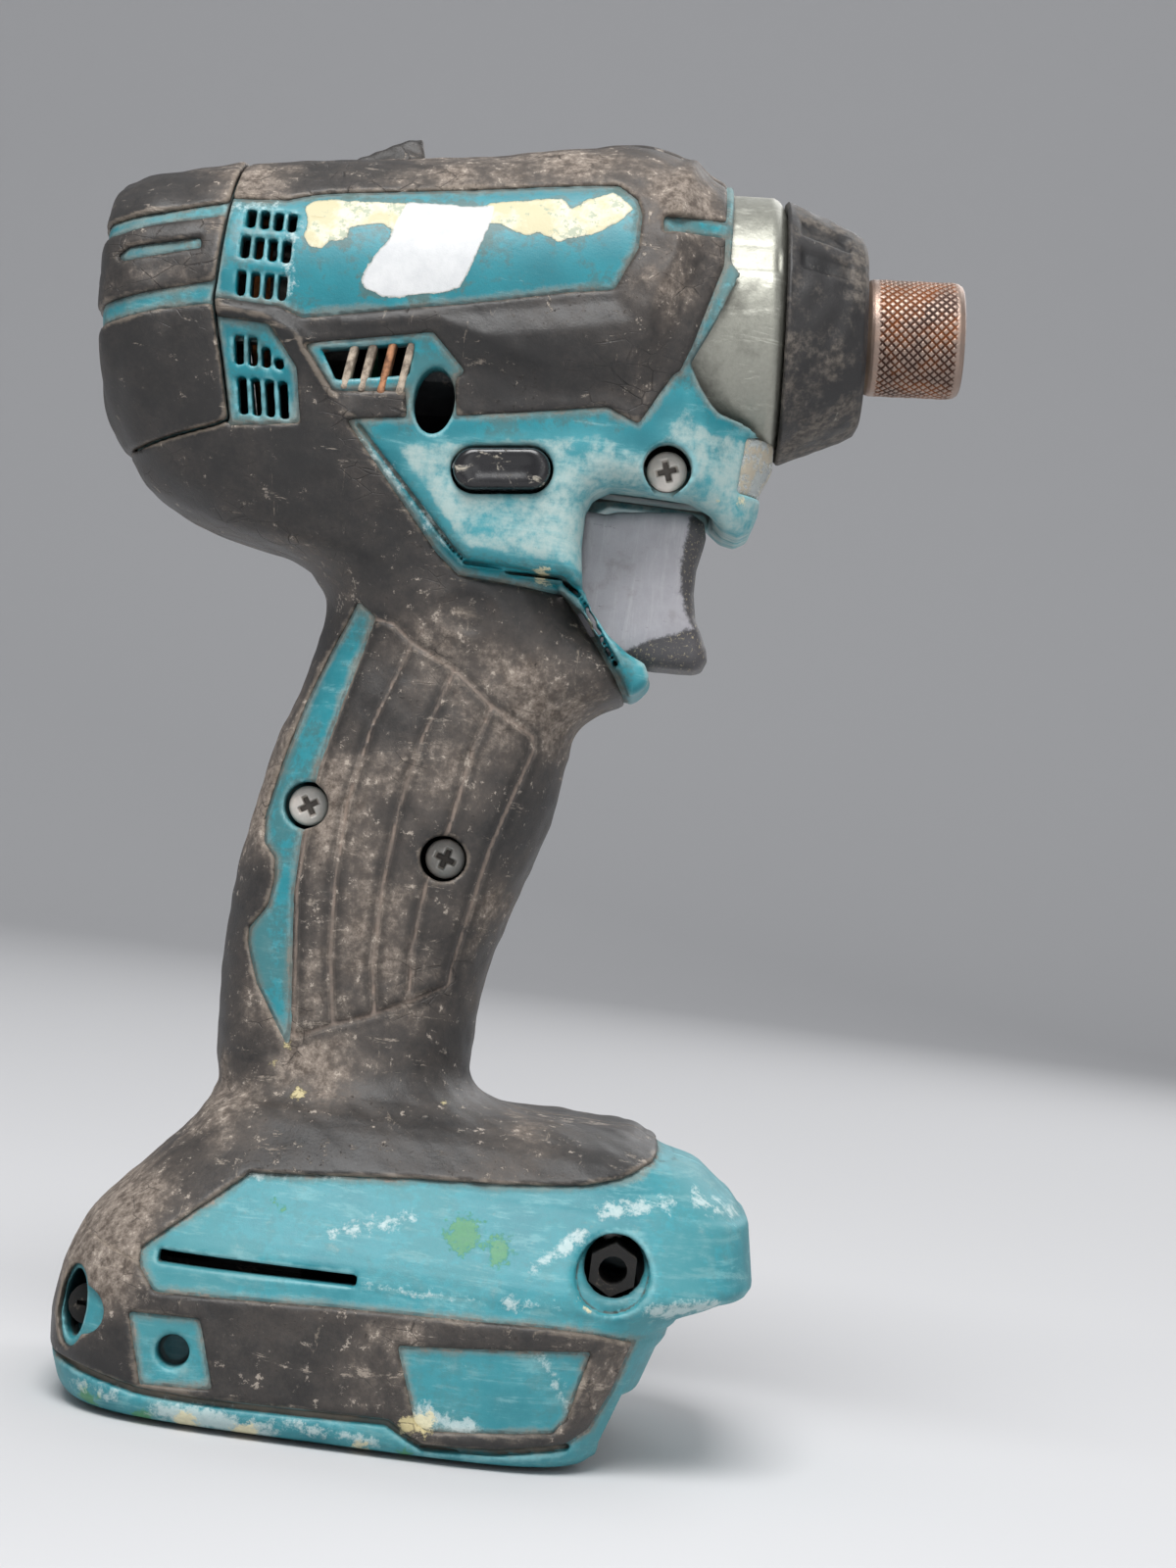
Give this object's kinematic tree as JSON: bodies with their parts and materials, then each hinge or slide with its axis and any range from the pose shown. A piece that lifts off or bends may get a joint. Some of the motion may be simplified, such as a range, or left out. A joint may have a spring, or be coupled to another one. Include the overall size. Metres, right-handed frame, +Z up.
{
  "type": "cordless impact driver",
  "caption": "Pistol-grip cordless impact driver, bare tool, with quick-release bit sleeve, trigger, push-through reversing lever and slide-on battery foot.",
  "frame": {"origin": "under the middle of the whole tool, level with the foot's flat underside, on the mid-plane of the two housing halves", "axes": "+X towards the nose, +Z up along the handle, +Y to the tool's left; the spindle axis rises 5 degrees towards +X"},
  "size_m": [0.127, 0.0764, 0.188],
  "materials": {
    "nylon": "moulded glass-filled nylon, teal, scuffed",
    "elastomer": "soft black elastomer, cracked and dusty",
    "cast_aluminium": "die-cast, dull, stained",
    "bumper_rubber": "dark moulded rubber, scuffed",
    "rusty_steel": "diamond-knurled steel, rusted brown",
    "steel": "ground and oiled",
    "dark_steel": "hardened, dark oxide",
    "copper": "enamelled copper wire",
    "grey_plastic": "grey moulded plastic, rubbed",
    "black_plastic": "black moulded plastic",
    "clear_plastic": "clear moulded lens",
    "circuit_board": "green board with parts",
    "brass": "sintered or turned"
  },
  "bodies": {
    "body": {"housing_right": "nylon", "housing_left": "nylon", "foot_right": "nylon", "foot_left": "nylon", "rear_cover": "nylon", "overmould_right": "elastomer", "overmould_left": "elastomer", "foot_band_right": "elastomer", "foot_band_left": "elastomer", "rear_cover_pad": "elastomer", "hammer_case": "cast_aluminium", "front_bumper": "bumper_rubber", "spindle_bearing": "steel", "motor_front_bearing": "steel", "motor_rear_bearing": "steel", "trigger_spring": "steel", "trigger_screw": "steel", "grip_front_screw": "steel", "grip_rear_screw": "steel", "foot_screw": "steel", "rear_cover_screw_1": "steel", "rear_cover_screw_2": "steel", "ring_gear": "dark_steel", "stator": "dark_steel", "stator_windings": "copper", "gear_case_cover": "black_plastic", "switch_body": "black_plastic", "controller": "black_plastic", "terminal_block": "black_plastic", "battery_leads": "black_plastic", "lamp_lens": "clear_plastic", "sensor_board": "circuit_board", "lamp_board": "circuit_board", "anvil_bush": "brass", "hook_insert_right": "brass", "hook_insert_left": "brass"},
    "trigger": {"trigger": "grey_plastic"},
    "reversing_lever": {"reversing_lever": "black_plastic"},
    "rotor": {"rotor": "dark_steel", "motor_shaft": "steel", "cooling_fan": "black_plastic"},
    "spindle": {"spindle": "dark_steel", "planet_pin_1": "steel", "planet_pin_2": "steel", "planet_pin_3": "steel", "hammer_spring": "steel"},
    "planet_1": {"planet_gear_1": "steel"},
    "planet_2": {"planet_gear_2": "steel"},
    "planet_3": {"planet_gear_3": "steel"},
    "hammer": {"hammer": "dark_steel", "hammer_ball_1": "steel", "hammer_ball_2": "steel"},
    "anvil": {"anvil": "dark_steel", "bit_ball_1": "steel", "bit_ball_2": "steel", "sleeve_retaining_ring": "dark_steel", "sleeve_spring": "steel"},
    "sleeve": {"chuck_sleeve": "rusty_steel"}
  },
  "joints": [
    {"name": "trigger_slide", "type": "slide", "parent": "body", "child": "trigger", "axis": [-1, 0, 0], "range_m": [0, 0.005], "stiffness_N_per_m": 1200, "springref_m": -0.002, "deforming": ["trigger_spring"]},
    {"name": "reversing_lever_slide", "type": "slide", "parent": "body", "child": "reversing_lever", "axis": [0, 1, 0], "range_m": [-0.0025, 0.0025]},
    {"name": "spindle_spin", "type": "hinge", "parent": "body", "child": "spindle", "pos_m": [-0.0055, 0, 0.161], "axis": [0.9962, 0, 0.0872], "continuous": true},
    {"name": "rotor_spin", "type": "hinge", "parent": "body", "child": "rotor", "pos_m": [-0.0055, 0, 0.161], "axis": [0.9962, 0, 0.0872], "continuous": true},
    {"name": "planet_1_spin", "type": "hinge", "parent": "spindle", "child": "planet_1", "pos_m": [-0.0055, 0.0105, 0.161], "axis": [0.9962, 0, 0.0872], "continuous": true},
    {"name": "planet_2_spin", "type": "hinge", "parent": "spindle", "child": "planet_2", "pos_m": [-0.00629, -0.00525, 0.17006], "axis": [0.9962, 0, 0.0872], "continuous": true},
    {"name": "planet_3_spin", "type": "hinge", "parent": "spindle", "child": "planet_3", "pos_m": [-0.00471, -0.00525, 0.15194], "axis": [0.9962, 0, 0.0872], "continuous": true},
    {"name": "hammer_slide", "type": "slide", "parent": "spindle", "child": "hammer", "axis": [-0.9962, 0, -0.0872], "range_m": [0, 0.006], "stiffness_N_per_m": 6000, "springref_m": -0.004, "deforming": ["hammer_spring"]},
    {"name": "anvil_spin", "type": "hinge", "parent": "body", "child": "anvil", "pos_m": [0.04431, 0, 0.16536], "axis": [0.9962, 0, 0.0872], "continuous": true},
    {"name": "sleeve_slide", "type": "slide", "parent": "anvil", "child": "sleeve", "axis": [0.9962, 0, 0.0872], "range_m": [0, 0.0035], "stiffness_N_per_m": 900, "springref_m": -0.002, "deforming": ["sleeve_spring"]}
  ],
  "couplings": [
    {"joint": "rotor_spin", "follows": "spindle_spin", "ratio": 6.6667},
    {"joint": "anvil_spin", "follows": "spindle_spin", "ratio": 1},
    {"joint": "planet_1_spin", "follows": "spindle_spin", "ratio": -2.4286},
    {"joint": "planet_2_spin", "follows": "spindle_spin", "ratio": -2.4286},
    {"joint": "planet_3_spin", "follows": "spindle_spin", "ratio": -2.4286}
  ]
}
